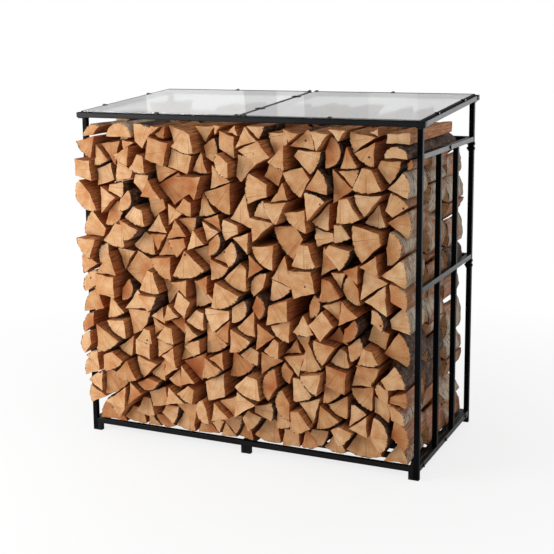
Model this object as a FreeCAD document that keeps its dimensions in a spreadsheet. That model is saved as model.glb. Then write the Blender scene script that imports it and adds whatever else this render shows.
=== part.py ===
"""Firewood log rack: two bottom frames, two side frames, back rails and two glazed roof frames
of square steel tube, bolted together, with three rows of split logs stacked in it.

The rack stands on z = 0 and its front faces -Y. It is drawn about its own middle and then moved, so that
x = y = 0 is under the middle of everything, the logs that stand out at the front included. Millimetres.
"""
import FreeCAD
import Part
import math
import os
import random
from Sketcher import Constraint

Vector = FreeCAD.Vector
Placement = FreeCAD.Placement
Rotation = FreeCAD.Rotation

doc = FreeCAD.newDocument("firewood_log_rack")

# ---------------------------------------------------------------- driving dimensions
SIZES = (
    ("rack_width", 1400),            # over the outer faces of the two side frames
    ("rack_depth", 700),             # over the front and back posts
    ("tube", 20),                    # square steel tube, outside
    ("wall", 1.5),                   # tube wall
    ("tube_corner", 2),              # rounding of the tube's outer edges
    ("foot_height", 30),             # ground to the underside of the bottom rails
    ("mid_rail_height", 697),        # ground to the underside of the middle rails
    ("roof_front_height", 1289),     # ground to the underside of the roof frame at its front edge
    ("upper_rail_drop", 94),         # from there down to the top of the upper rails
    ("roof_slope", 4.13),            # degrees, rising to the back
    ("roof_side_overhang", 12),      # beam ends; their caps stand out further
    ("roof_front_overhang", 15),
    ("roof_back_overhang", 5),
    ("cap_flange", 3),               # plastic end cap: square flange outside the tube
    ("cap_plug", 12),                # and the plug pushed into the bore
    ("cap_fit", 0.2),                # play of the plug in the bore, each side
    ("seat_plate", 3),               # steel plate between a post's top and the roof frame
    ("seat_plate_length", 46),
    ("seat_margin", 2),              # plate edge inside the roof frame's outer edges
    ("end_plate", 3),                # plate welded on the end of a back rail
    ("end_plate_drop", 38),          # how far it reaches below the rail
    ("pane_thickness", 4),
    ("pane_margin", 12),             # pane edge inside the outer edges of its roof frame
    ("pane_seam", 10),               # pane edge to the seam between the two roof frames
    ("tape_thickness", 1),
    ("tape_width", 7),
    ("tape_show", 0.8),              # tape seen outside the pane's edge
    ("clip_width", 12),
    ("clip_metal", 2),
    ("clip_reach", 9),               # lip of a clip over the pane
    ("clip_foot", 8),                # part of a clip that stands on the roof frame
    ("clip_gap", 1),                 # from a clip's foot to the pane's edge
    ("bolt", 8),                     # bolts that hold the frames to each other
    ("bolt_head", 13),               # across the flats
    ("bolt_head_height", 5),
    ("nut_height", 6.5),
    ("rail_bolt", 6),                # bolts of the back rails
    ("rail_bolt_head", 10),
    ("rail_bolt_head_height", 4),
    ("rail_nut_height", 5),
    ("hole_play", 0.4),              # a bolt's hole is this much wider than the bolt
    ("bolt_tail", 2),                # thread that stands out of a nut
    ("seat_screw", 5),
    ("seat_screw_head", 9),
    ("seat_screw_head_height", 2.5),
    ("seat_screw_length", 8),
    ("clip_screw", 4),
    ("clip_screw_head", 7),
    ("clip_screw_head_height", 2),
    ("clip_screw_length", 14),
    ("plug_hole", 9),                # spare hole in each front post, closed by a plastic plug
    ("plug_flange", 12),
    ("plug_flange_height", 1.6),
    ("plug_depth", 5),
    ("plug_drop", 20),               # spare hole below the underside of the middle rail
    ("log_length", 215),
    ("log_length_scatter", 6),       # how much shorter than that the shortest are
    ("log_radius", 100),             # of the round logs that the pieces are split from
    ("log_gap", 0.25),               # play where one log rests on another
    ("row_gap", 8),                  # least gap from the end of one log to the next row
    ("stack_clearance", 8),          # from the side frames to the stack
    ("stack_headroom", 5),           # from the stack's top to the roof frame
    ("front_row_reach", 65),         # how far the front row stands out past the front posts
    ("front_row_skew", 35),          # how much further than that on the left, and less on the right
    ("front_row_scatter", 33),       # and how unevenly
    ("front_row_limit", 120),        # the furthest that a log stands out
    ("reach_rise", 70),              # height over which the front row comes forward
    ("back_row_play", 4),            # from the back row to the back rails
    ("long_log_length", 610),        # of the three long logs on top of the stack
    ("long_log_width", 96),
)
SLATS = 6                            # in each bottom frame

sheet = doc.addObject("Spreadsheet::Sheet", "sizes")
for row, (alias, number) in enumerate(SIZES, start=1):
    sheet.set("A%d" % row, alias)
    sheet.set("B%d" % row, str(number))
    sheet.setAlias("B%d" % row, alias)
doc.recompute()


def size(alias):
    return float(sheet.get(alias))


TUBE = size("tube")
HALF_WIDTH = size("rack_width") / 2
HALF_DEPTH = size("rack_depth") / 2
INNER_HALF_WIDTH = HALF_WIDTH - TUBE
INNER_HALF_DEPTH = HALF_DEPTH - TUBE
FLOOR = size("foot_height") + TUBE
RAIL_MIDDLE = size("foot_height") + TUBE / 2
SLOPE = math.radians(size("roof_slope"))
ROOF_FRONT = -HALF_DEPTH - size("roof_front_overhang")
ROOF_RUN = (size("rack_depth") + size("roof_front_overhang") + size("roof_back_overhang")) / math.cos(SLOPE)
ROOF_HALF_WIDTH = HALF_WIDTH + size("roof_side_overhang")
ROOF = Placement(Vector(0, ROOF_FRONT, size("roof_front_height")),
                 Rotation(Vector(1, 0, 0), size("roof_slope")))
LEFT = -1
RIGHT = 1
SIDE_NAMES = {LEFT: "left", RIGHT: "right"}

pieces = []


def at(x, y, z):
    return Placement(Vector(x, y, z), Rotation())


# the logs stand out further at the front than the roof does at the back
HOME = at(0, (size("front_row_limit") - size("roof_back_overhang")) / 2, 0)


def keep(piece, label):
    """Name a finished sub-part, move it home and put it on the list of parts to write."""
    piece.Label = label
    piece.Placement = HOME * piece.Placement
    pieces.append(piece)


# ---------------------------------------------------------------- square tube
def present(expression):
    """The value that an expression on the sheet has now."""
    return float(sheet.evalExpression(expression.replace("sizes.", "")))


def rounded_square(sketch, name, half_side, corner):
    """Add a square with rounded corners about the origin; both sizes are expressions."""
    half = present(half_side)
    radius = present(corner)
    flat = half - radius
    first = sketch.GeometryCount
    sides = (((-flat, -half), (flat, -half)), ((half, -flat), (half, flat)),
             ((flat, half), (-flat, half)), ((-half, flat), (-half, -flat)))
    for start, end in sides:
        sketch.addGeometry(Part.LineSegment(Vector(*start, 0), Vector(*end, 0)))
    for quarter, centre in enumerate(((flat, -flat), (flat, flat), (-flat, flat), (-flat, -flat))):
        circle = Part.Circle(Vector(*centre, 0), Vector(0, 0, 1), radius)
        begin = (quarter - 1) * math.pi / 2
        sketch.addGeometry(Part.ArcOfCircle(circle, begin, begin + math.pi / 2))
    for side in range(4):
        line = first + side
        arc = first + 4 + side
        following = first + (side + 1) % 4
        sketch.addConstraint(Constraint("Tangent", line, 2, arc, 1))
        sketch.addConstraint(Constraint("Tangent", arc, 2, following, 1))
        sketch.addConstraint(Constraint("Vertical" if side % 2 else "Horizontal", line))
        if side:
            sketch.addConstraint(Constraint("Equal", first + 4, arc))
    driven = (
        (Constraint("Radius", first + 4, radius), corner),
        (Constraint("DistanceX", -1, 1, first + 1, 1, half), half_side),
        (Constraint("DistanceX", first + 3, 1, -1, 1, half), half_side),
        (Constraint("DistanceY", -1, 1, first + 2, 1, half), half_side),
        (Constraint("DistanceY", first, 1, -1, 1, half), half_side),
    )
    for number, (constraint, expression) in enumerate(driven):
        constraint_name = "%s_%d" % (name, number)
        sketch.renameConstraint(sketch.addConstraint(constraint), constraint_name)
        sketch.setExpression("Constraints." + constraint_name, expression)


tube_profile = doc.addObject("Sketcher::SketchObject", "tube_profile")
rounded_square(tube_profile, "outside", "sizes.tube / 2", "sizes.tube_corner")
rounded_square(tube_profile, "bore", "sizes.tube / 2 - sizes.wall", "sizes.tube_corner / 4")

# a tube is drawn along Z, and these turn it
ALONG = {
    "x": Rotation(Vector(0, 1, 0), Vector(0, 0, 1), Vector(1, 0, 0)),
    "y": Rotation(Vector(0, 0, 1), Vector(1, 0, 0), Vector(0, 1, 0)),
    "z": Rotation(),
}
X = Vector(1, 0, 0)
Y = Vector(0, 1, 0)
Z = Vector(0, 0, 1)


def block(name, length, width, height, x, y, z):
    """Box from its lowest corner; its three sizes are expressions."""
    body = doc.addObject("Part::Box", name)
    body.setExpression("Length", length)
    body.setExpression("Width", width)
    body.setExpression("Height", height)
    body.Placement = at(x, y, z)
    return body


def rod(name, diameter, length, point, direction):
    """Cylinder from a point along a direction; both sizes are expressions."""
    body = doc.addObject("Part::Cylinder", name)
    body.setExpression("Radius", "(%s) / 2" % diameter)
    body.setExpression("Height", length)
    body.Placement = Placement(point, Rotation(Z, direction))
    return body


def hexagon(name, across, height, point, direction):
    """Six-sided prism from a point along a direction, by its width across the flats."""
    body = doc.addObject("Part::Prism", name)
    body.Polygon = 6
    body.setExpression("Circumradius", "%s / sqrt(3)" % across)
    body.setExpression("Height", height)
    body.Placement = Placement(point, Rotation(Z, direction))
    return body


def cut(name, base, tools):
    body = doc.addObject("Part::Cut", name)
    body.Base = base
    body.Tool = tools[0] if len(tools) == 1 else group(name + "_tools", tools)
    return body


def fuse(name, shapes):
    body = doc.addObject("Part::MultiFuse", name)
    body.Shapes = shapes
    return body


def group(name, solids, frame=Placement()):
    """Separate solids that share one node."""
    body = doc.addObject("Part::Compound", name)
    body.Links = solids
    body.Placement = frame
    return body


def through(point, direction, diameter):
    """A hole through both walls of a tube."""
    return rod("hole", diameter, "sizes.tube * 2", point - direction * TUBE, direction)


def one_wall(point, direction, diameter):
    """A hole in the one wall of a tube that the direction points to, from the tube's middle."""
    return rod("hole", diameter, "sizes.tube", point, direction)


def extrude(name, profile, run, placement):
    """Solid drawn along its own Z from a flat profile; its run is an expression."""
    body = doc.addObject("Part::Extrusion", name)
    body.Base = profile
    body.DirMode = "Custom"
    body.Dir = Z
    body.setExpression("LengthFwd", run)
    body.Solid = True
    body.FaceMakerClass = "Part::FaceMakerBullseye"
    body.Placement = placement
    return body


def bar(name, run, start, along, holes=(), frame=Placement()):
    """Square tube whose middle line starts at a point."""
    if not holes:
        return extrude(name, tube_profile, run, frame * Placement(start, ALONG[along]))
    drilled = cut(name + "_drilled", extrude(name, tube_profile, run, Placement(start, ALONG[along])), holes)
    drilled.Placement = frame
    return drilled


def tube(label, run, start, along, holes=(), frame=Placement()):
    keep(bar(label + "_tube", run, start, along, holes, frame), label)


BOLT_HOLE = "sizes.bolt + sizes.hole_play"
RAIL_BOLT_HOLE = "sizes.rail_bolt + sizes.hole_play"
SEAT_SCREW_HOLE = "sizes.seat_screw + sizes.hole_play"
CLIP_SCREW_HOLE = "sizes.clip_screw + sizes.hole_play"


# ---------------------------------------------------------------- bottom frames
INNER_RUN = "sizes.rack_depth - 2 * sizes.tube"
bay = (size("rack_depth") - TUBE) / (SLATS + 1)
slat_places = [-HALF_DEPTH + TUBE / 2 + bay * (number + 1) for number in range(SLATS)]
bay_middles = [-HALF_DEPTH + TUBE / 2 + bay * (number + 0.5) for number in range(SLATS + 1)]
side_bolt_places = (bay_middles[0], bay_middles[SLATS // 2], bay_middles[-1])
seam_bolt_places = (bay_middles[1], bay_middles[-2])

for side in (LEFT, RIGHT):
    name = SIDE_NAMES[side] + "_bottom_"
    outer_x = side * (INNER_HALF_WIDTH - TUBE / 2)
    inner_x = side * TUBE / 2
    low_x = min(0, side * INNER_HALF_WIDTH)
    low_slat_x = min(side * TUBE, side * (INNER_HALF_WIDTH - TUBE))
    half_run = "sizes.rack_width / 2 - sizes.tube"
    tube(name + "front_rail", half_run, Vector(low_x, -HALF_DEPTH + TUBE / 2, RAIL_MIDDLE), "x")
    tube(name + "back_rail", half_run, Vector(low_x, HALF_DEPTH - TUBE / 2, RAIL_MIDDLE), "x")
    tube(name + "outer_rail", INNER_RUN, Vector(outer_x, -INNER_HALF_DEPTH, RAIL_MIDDLE), "y",
         [through(Vector(outer_x, y, RAIL_MIDDLE), X, BOLT_HOLE) for y in side_bolt_places])
    tube(name + "inner_rail", INNER_RUN, Vector(inner_x, -INNER_HALF_DEPTH, RAIL_MIDDLE), "y",
         [through(Vector(inner_x, y, RAIL_MIDDLE), X, BOLT_HOLE) for y in seam_bolt_places])
    slats = [bar(name + "slat", "sizes.rack_width / 2 - 3 * sizes.tube",
                 Vector(low_slat_x, y, RAIL_MIDDLE), "x") for y in slat_places]
    keep(group(name + "slat_group", slats), name + "slats")

CAP_TOP = size("cap_flange")
leg_corners = [(x, y)
               for x in (-INNER_HALF_WIDTH + TUBE / 2, -TUBE / 2, TUBE / 2, INNER_HALF_WIDTH - TUBE / 2)
               for y in (-HALF_DEPTH + TUBE / 2, HALF_DEPTH - TUBE / 2)]
legs = [bar("leg", "sizes.foot_height - sizes.cap_flange", Vector(x, y, CAP_TOP), "z")
        for x, y in leg_corners]
keep(group("leg_group", legs), "bottom_frame_legs")


# ---------------------------------------------------------------- side frames
def roof_underside(y):
    return size("roof_front_height") + (y - ROOF_FRONT) * math.tan(SLOPE)


def end_bolt_heights(rail_height):
    """Heights of the two bolts under a back rail's end."""
    upper = rail_height - size("rail_bolt_head") / 2 - 3
    return (upper, upper - TUBE)


UPPER = size("roof_front_height") - size("upper_rail_drop") - TUBE
MIDDLE = size("mid_rail_height")
post_corners = []
for side in (LEFT, RIGHT):
    name = SIDE_NAMES[side] + "_"
    x = side * (HALF_WIDTH - TUBE / 2)
    for place, y in (("front", -HALF_DEPTH + TUBE / 2), ("back", HALF_DEPTH - TUBE / 2)):
        holes = []
        if place == "back":
            for height in end_bolt_heights(MIDDLE) + end_bolt_heights(UPPER):
                holes.append(through(Vector(x, y, height), X, RAIL_BOLT_HOLE))
        else:
            holes.append(one_wall(Vector(x, y, MIDDLE - size("plug_drop")), X * side, "sizes.plug_hole"))
        long_post = bar(name + place + "_long_post", "sizes.roof_front_height * 1.2",
                        Vector(x, y, CAP_TOP), "z", holes)
        # the post is cut off along the underside of the plate that the roof frame sits on
        above = block(name + place + "_above", "sizes.rack_depth", "sizes.rack_depth * 2",
                      "sizes.roof_front_height", 0, 0, 0)
        above.Placement = ROOF * at(x - HALF_DEPTH, -HALF_DEPTH, -size("seat_plate"))
        keep(cut(name + place + "_cut_post", long_post, [above]), name + place + "_post")
        post_corners.append((x, y))
    tube(name + "bottom_side_rail", INNER_RUN, Vector(x, -INNER_HALF_DEPTH, RAIL_MIDDLE), "y",
         [through(Vector(x, y, RAIL_MIDDLE), X, BOLT_HOLE) for y in side_bolt_places])
    tube(name + "mid_side_rail", INNER_RUN, Vector(x, -INNER_HALF_DEPTH, MIDDLE + TUBE / 2), "y")
    tube(name + "upper_side_rail", INNER_RUN, Vector(x, -INNER_HALF_DEPTH, UPPER + TUBE / 2), "y",
         [through(Vector(x, 0, UPPER + TUBE / 2), X, BOLT_HOLE)])
    third = (size("rack_depth") - TUBE) / 3
    for place, y in (("front", -HALF_DEPTH + TUBE / 2 + third), ("back", HALF_DEPTH - TUBE / 2 - third)):
        tube(name + "lower_" + place + "_bar", "sizes.mid_rail_height - sizes.foot_height - sizes.tube",
             Vector(x, y, FLOOR), "z")
        tube(name + "upper_" + place + "_bar",
             "sizes.roof_front_height - sizes.upper_rail_drop - sizes.mid_rail_height - 2 * sizes.tube",
             Vector(x, y, MIDDLE + TUBE), "z")


# ---------------------------------------------------------------- back rails
PLATE_HEIGHT = "sizes.tube + sizes.end_plate_drop"
plates = []
rail_bolts = []
rail_nuts = []
for name, height in (("back_mid_rail", MIDDLE), ("back_upper_rail", UPPER)):
    y = HALF_DEPTH - TUBE / 2
    tube(name, "sizes.rack_width - 2 * sizes.tube - 2 * sizes.end_plate",
         Vector(-INNER_HALF_WIDTH + size("end_plate"), y, height + TUBE / 2), "x")
    for side in (LEFT, RIGHT):
        plate_x = side * INNER_HALF_WIDTH - (size("end_plate") if side == RIGHT else 0)
        plate = block("end_plate_blank", "sizes.end_plate", "sizes.tube", PLATE_HEIGHT,
                      plate_x, y - TUBE / 2, height - size("end_plate_drop"))
        inward = X * -side
        holes = []
        for bolt_height in end_bolt_heights(height):
            outside = Vector(side * HALF_WIDTH, y, bolt_height)
            holes.append(through(Vector(side * INNER_HALF_WIDTH, y, bolt_height), X, RAIL_BOLT_HOLE))
            head = hexagon("rail_bolt_head", "sizes.rail_bolt_head", "sizes.rail_bolt_head_height",
                           outside, X * side)
            shank = rod("rail_bolt_shank", "sizes.rail_bolt",
                        "sizes.tube + sizes.end_plate + sizes.rail_nut_height + sizes.bolt_tail",
                        outside, inward)
            rail_bolts.append(fuse("rail_bolt", [head, shank]))
            seat = outside + inward * (TUBE + size("end_plate"))
            blank = hexagon("rail_nut_blank", "sizes.rail_bolt_head", "sizes.rail_nut_height", seat, inward)
            rail_nuts.append(cut("rail_nut", blank, [rod("rail_nut_bore", "sizes.rail_bolt",
                                                         "sizes.rail_nut_height", seat, inward)]))
        plates.append(cut("end_plate", plate, holes))
keep(group("end_plate_group", plates), "back_rail_end_plates")
keep(group("rail_bolt_group", rail_bolts), "back_rail_bolts")
keep(group("rail_nut_group", rail_nuts), "back_rail_nuts")


# ---------------------------------------------------------------- roof frames, in the roof's own frame
# here x runs along the front edge, y up the slope and z square to the glass
MARGIN = size("pane_margin")
GLASS_LOW = TUBE + size("tape_thickness")
GLASS_HIGH = GLASS_LOW + size("pane_thickness")
CLIP_OUT = size("clip_gap") + size("clip_foot") / 2
seat_screws = []
clip_screws = []
half = ROOF_HALF_WIDTH

beam_line = half - TUBE / 2


def clip(x, y, outward):
    """Clip whose lip holds a pane's edge; x, y is on that edge and outward points off the pane."""
    across = "sizes.clip_foot"
    over = "sizes.clip_foot + sizes.clip_gap + sizes.clip_reach"
    width = "sizes.clip_width"
    foot_near = Vector(x, y, TUBE) + outward * size("clip_gap")
    lip_near = Vector(x, y, GLASS_HIGH) - outward * size("clip_reach")
    sideways = size("clip_width") / 2
    turn = Rotation(X, outward)
    foot = block("clip_foot_block", across, width, "sizes.tape_thickness + sizes.pane_thickness", 0, 0, 0)
    foot.Placement = Placement(foot_near, turn) * at(0, -sideways, 0)
    lip = block("clip_lip", over, width, "sizes.clip_metal", 0, 0, 0)
    lip.Placement = Placement(lip_near, turn) * at(0, -sideways, 0)
    middle = Vector(x, y, GLASS_HIGH + size("clip_metal")) + outward * CLIP_OUT
    clip_screws.append(fuse("clip_screw", [
        rod("clip_screw_head", "sizes.clip_screw_head", "sizes.clip_screw_head_height", middle, Z),
        rod("clip_screw_shank", "sizes.clip_screw", "sizes.clip_screw_length", middle, -Z)]))
    bore = rod("clip_bore", CLIP_SCREW_HOLE, "sizes.tube", middle, -Z)
    return cut("clip", fuse("clip_body", [foot, lip]), [bore])


def clip_hole(x, y, outward, beam_z=TUBE / 2):
    return one_wall(Vector(x, y, beam_z) + outward * CLIP_OUT, Z, CLIP_SCREW_HOLE)


def seat_hole(x, y):
    return one_wall(Vector(x, y, TUBE / 2), -Z, SEAT_SCREW_HOLE)


# the two screws of each seat plate, clear of the post under it: one into the front beam, all others
# into the outer beam, where they miss the plugs of the beams' caps
SEAT = size("seat_margin")
PLATE_RUN = size("seat_plate_length")
screw_edge = size("seat_screw_head") / 2 + SEAT
overhang_middle = half - size("roof_side_overhang") / 2
front_beam_screw = (HALF_WIDTH - TUBE / 2, size("roof_front_overhang") / 2)
outer_beam_screws = {
    "front": ((overhang_middle, SEAT + PLATE_RUN - screw_edge),),
    "back": ((overhang_middle, ROOF_RUN - SEAT - PLATE_RUN + screw_edge),
             (overhang_middle, ROOF_RUN - TUBE - screw_edge)),
}
roof_seam_places = (ROOF_RUN * 0.12, ROOF_RUN * 0.5, ROOF_RUN * 0.88)

for side in (LEFT, RIGHT):
    name = SIDE_NAMES[side] + "_roof_"
    low_x = min(0, side * half)
    outer_edge = side * (half - MARGIN)
    inner_edge = side * size("pane_seam")
    pane_low_x = min(inner_edge, outer_edge)
    corner_x = inner_edge + side * size("clip_width") / 2
    outward = X * side
    quarter = (ROOF_RUN * 0.25 + MARGIN / 2, ROOF_RUN * 0.75 - MARGIN / 2)
    front_clips = [(low_x + half / 2, MARGIN, -Y), (corner_x, MARGIN, -Y)]
    back_clips = [(low_x + half / 2, ROOF_RUN - MARGIN, Y), (corner_x, ROOF_RUN - MARGIN, Y)]
    outer_clips = [(outer_edge, y, outward) for y in quarter]
    inner_clips = [(inner_edge, y, -outward) for y in quarter]

    beam_run = "sizes.rack_width / 2 + sizes.roof_side_overhang"
    slope_run = ("(sizes.rack_depth + sizes.roof_front_overhang + sizes.roof_back_overhang)"
                 " / cos(sizes.roof_slope * 1 deg)")
    side_run = slope_run + " - 2 * sizes.tube"
    tube(name + "front_beam", beam_run, Vector(low_x, TUBE / 2, TUBE / 2), "x",
         [clip_hole(*place) for place in front_clips]
         + [seat_hole(side * front_beam_screw[0], front_beam_screw[1])],
         ROOF)
    tube(name + "back_beam", beam_run, Vector(low_x, ROOF_RUN - TUBE / 2, TUBE / 2), "x",
         [clip_hole(*place) for place in back_clips], ROOF)
    tube(name + "outer_beam", side_run, Vector(side * beam_line, TUBE, TUBE / 2), "y",
         [clip_hole(*place) for place in outer_clips]
         + [seat_hole(side * x, y) for x, y in outer_beam_screws["front"] + outer_beam_screws["back"]],
         ROOF)
    tube(name + "inner_beam", side_run, Vector(side * TUBE / 2, TUBE, TUBE / 2), "y",
         [clip_hole(*place) for place in inner_clips]
         + [through(Vector(side * TUBE / 2, y, TUBE / 2), X, BOLT_HOLE) for y in roof_seam_places],
         ROOF)

    pane_width = beam_run + " - sizes.pane_margin - sizes.pane_seam"
    pane_run = slope_run + " - 2 * sizes.pane_margin"
    pane = block(name + "pane_sheet", pane_width, pane_run, "sizes.pane_thickness", 0, 0, 0)
    pane.Placement = ROOF * at(pane_low_x, MARGIN, GLASS_LOW)
    keep(pane, name + "glass")
    show = size("tape_show")
    wider = " + 2 * sizes.tape_show"
    tape_outside = block(name + "tape_outside", pane_width + wider, pane_run + wider,
                         "sizes.tape_thickness", pane_low_x - show, MARGIN - show, TUBE)
    inset = size("tape_width") - show
    narrower = wider + " - 2 * sizes.tape_width"
    tape_inside = block(name + "tape_inside", pane_width + narrower, pane_run + narrower,
                        "sizes.tape_thickness", pane_low_x + inset, MARGIN + inset, TUBE)
    tape = cut(name + "tape_ring", tape_outside, [tape_inside])
    tape.Placement = ROOF
    keep(tape, name + "glazing_tape")
    clips = [clip(*place) for place in front_clips + back_clips + outer_clips + inner_clips]
    keep(group(name + "clip_group", clips, ROOF), name + "clips")
keep(group("clip_screw_group", clip_screws, ROOF), "roof_clip_screws")

plates = []
for side in (LEFT, RIGHT):
    for place, low_y in (("front", SEAT), ("back", ROOF_RUN - SEAT - PLATE_RUN)):
        plate = block("seat_plate_blank",
                      "sizes.tube + sizes.roof_side_overhang - sizes.seat_margin", "sizes.seat_plate_length",
                      "sizes.seat_plate", min(side * (half - SEAT), side * INNER_HALF_WIDTH), low_y,
                      -size("seat_plate"))
        holes = []
        screws = outer_beam_screws[place] + ((front_beam_screw,) if place == "front" else ())
        for screw_x, screw_y in screws:
            under = Vector(side * screw_x, screw_y, -size("seat_plate"))
            holes.append(rod("seat_hole", SEAT_SCREW_HOLE, "sizes.seat_plate", under, Z))
            head = rod("seat_screw_head", "sizes.seat_screw_head", "sizes.seat_screw_head_height", under, -Z)
            shank = rod("seat_screw_shank", "sizes.seat_screw", "sizes.seat_screw_length", under, Z)
            seat_screws.append(fuse("seat_screw", [head, shank]))
        plates.append(cut("seat_plate", plate, holes))
keep(group("seat_plate_group", plates, ROOF), "roof_seat_plates")
keep(group("seat_screw_group", seat_screws, ROOF), "roof_seat_screws")


# ---------------------------------------------------------------- caps, plugs and frame bolts
flange_profile = doc.addObject("Sketcher::SketchObject", "flange_profile")
rounded_square(flange_profile, "flange", "sizes.tube / 2", "sizes.tube_corner")
plug_profile = doc.addObject("Sketcher::SketchObject", "plug_profile")
rounded_square(plug_profile, "plug", "sizes.tube / 2 - sizes.wall - sizes.cap_fit", "sizes.tube_corner / 4")


def end_cap(point, outward):
    """Plastic cap: a flange over the tube's end and a plug in its bore."""
    flange = extrude("cap_flange_plate", flange_profile, "sizes.cap_flange",
                     Placement(point, Rotation(Z, outward)))
    plug = extrude("cap_plug_block", plug_profile, "sizes.cap_plug", Placement(point, Rotation(Z, -outward)))
    return fuse("cap", [flange, plug])


foot_caps = [end_cap(Vector(x, y, CAP_TOP), -Z) for x, y in leg_corners + post_corners]
keep(group("foot_cap_group", foot_caps), "foot_caps")
beam_caps = [end_cap(Vector(side * half, y, TUBE / 2), X * side)
             for side in (LEFT, RIGHT) for y in (TUBE / 2, ROOF_RUN - TUBE / 2)]
keep(group("beam_cap_group", beam_caps, ROOF), "roof_beam_caps")

bolts = []
nuts = []


def frame_bolt(head_seat, inward, grip, frame=Placement()):
    """Hexagon bolt and its nut, clamping a grip that is an expression."""
    head = hexagon("bolt_head_block", "sizes.bolt_head", "sizes.bolt_head_height", head_seat, -inward)
    shank = rod("bolt_shank", "sizes.bolt", grip + " + sizes.nut_height + sizes.bolt_tail", head_seat, inward)
    seat = head_seat + inward * present(grip)
    blank = hexagon("nut_blank", "sizes.bolt_head", "sizes.nut_height", seat, inward)
    bore = rod("nut_bore", "sizes.bolt", "sizes.nut_height", seat, inward)
    bolts.append(fuse("frame_bolt", [head, shank]))
    nuts.append(cut("frame_nut", blank, [bore]))
    bolts[-1].Placement = frame
    nuts[-1].Placement = frame


TWO_TUBES = "2 * sizes.tube"
for side in (LEFT, RIGHT):
    for y in side_bolt_places:
        frame_bolt(Vector(side * HALF_WIDTH, y, RAIL_MIDDLE), X * -side, TWO_TUBES)
    frame_bolt(Vector(side * HALF_WIDTH, 0, UPPER + TUBE / 2), X * -side, "sizes.tube")
for y in seam_bolt_places:
    frame_bolt(Vector(-TUBE, y, RAIL_MIDDLE), X, TWO_TUBES)
for y in roof_seam_places:
    frame_bolt(Vector(-TUBE, y, TUBE / 2), X, TWO_TUBES, ROOF)
keep(group("bolt_group", bolts), "frame_bolts")
keep(group("nut_group", nuts), "frame_nuts")

plugs = []
for side in (LEFT, RIGHT):
    face = Vector(side * HALF_WIDTH, -HALF_DEPTH + TUBE / 2, MIDDLE - size("plug_drop"))
    flange = rod("plug_flange_disc", "sizes.plug_flange", "sizes.plug_flange_height", face, X * side)
    stem = rod("plug_stem", "sizes.plug_hole - sizes.hole_play", "sizes.plug_depth", face, X * -side)
    plugs.append(fuse("plug", [flange, stem]))
keep(group("plug_group", plugs), "front_post_plugs")


# ---------------------------------------------------------------- split logs
# The logs' shapes come from a fixed series of chances, so every build stacks the same logs. A section is
# drawn in x and z about its pith, and the top of the stack is kept as a height at every SPACING along x.
SPACING = 4.0
SHALLOWEST_DIP = 40.0
NARROWEST_DIP = 34.0
BESIDE_FRAME = 75.0
END_WEIGHT = 0.5
STACK_HALF_WIDTH = INNER_HALF_WIDTH - size("stack_clearance")
FULL = 1e6


def polar(radius, angle):
    return (radius * math.cos(angle), radius * math.sin(angle))


def corner_fan(radius, half_angle):
    return [polar(radius, -half_angle), polar(radius, half_angle)]


def split_section(chance, scale):
    """Corners of a split log counter-clockwise, the corner where its bark starts, and the bark's radius."""
    kind = chance.random()
    radius = size("log_radius") * scale * chance.uniform(0.8, 1.25)
    if kind < 0.46:
        # wedge split down to the pith
        tip = polar(chance.uniform(0, 0.12) * radius, chance.uniform(-0.5, 0.5))
        return [tip] + corner_fan(radius, math.radians(chance.uniform(21, 39))), 1, radius
    if kind < 0.6:
        # wedge of a thick log with its tip split off
        radius *= 1.17
        half_angle = math.radians(chance.uniform(19, 30))
        tip = chance.uniform(0.28, 0.5) * radius
        corners = [polar(tip, half_angle), polar(tip * chance.uniform(0.7, 1.1), -half_angle)]
        return corners + corner_fan(radius, half_angle), 2, radius
    if kind < 0.7:
        # half or third of a thin log
        radius *= 0.6
        return [(0, 0)] + corner_fan(radius, math.radians(chance.uniform(58, 82))), 1, radius
    if kind < 0.91:
        # triangle from the heart, without bark
        half_angle = math.radians(chance.uniform(22, 36))
        return [(chance.uniform(0, 0.1) * radius, 0),
                polar(radius * chance.uniform(0.75, 1), -half_angle),
                polar(radius * chance.uniform(0.75, 1), half_angle)], None, radius
    # four-sided piece from the heart
    flat = 0.59 * chance.uniform(0.68, 1)
    corners = []
    for quarter, share in enumerate((flat, 0.59, flat, 0.59)):
        angle = quarter * math.pi / 2 + chance.uniform(-0.16, 0.16)
        corners.append(polar(radius * share * chance.uniform(0.9, 1.1), angle))
    return corners, None, radius


def boxed_in(corners, bark, radius):
    """Straight-sided outline around a section: short tangents stand outside its round bark."""
    if bark is None:
        return list(corners)
    start = math.atan2(corners[bark][1], corners[bark][0])
    end = math.atan2(*reversed(corners[(bark + 1) % len(corners)]))
    sweep = (end - start) % (2 * math.pi)
    steps = max(2, math.ceil(sweep / math.radians(12)))
    step = sweep / steps
    tangents = [polar(radius / math.cos(step / 2), start + (number + 0.5) * step) for number in range(steps)]
    return corners[:bark + 1] + tangents + corners[bark + 1:]


def turned(points, angle):
    cosine = math.cos(angle)
    sine = math.sin(angle)
    return [(cosine * x - sine * z, sine * x + cosine * z) for x, z in points]


def edges_of(outline):
    return [sorted(edge) for edge in zip(outline, outline[1:] + outline[:1])]


def heights(outline, first_x, count):
    """Lowest and highest z of a convex outline at each SPACING from first_x; None where it has none."""
    low = [None] * count
    high = [None] * count
    for (x0, z0), (x1, z1) in edges_of(outline):
        if x1 - x0 < 1e-9:
            continue
        slope = (z1 - z0) / (x1 - x0)
        begin = max(0, math.ceil((x0 - first_x) / SPACING - 1e-9))
        end = min(count - 1, math.floor((x1 - first_x) / SPACING + 1e-9))
        for number in range(begin, end + 1):
            z = z0 + slope * (first_x + SPACING * number - x0)
            low[number] = z if low[number] is None else min(low[number], z)
            high[number] = z if high[number] is None else max(high[number], z)
    return low, high


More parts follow.
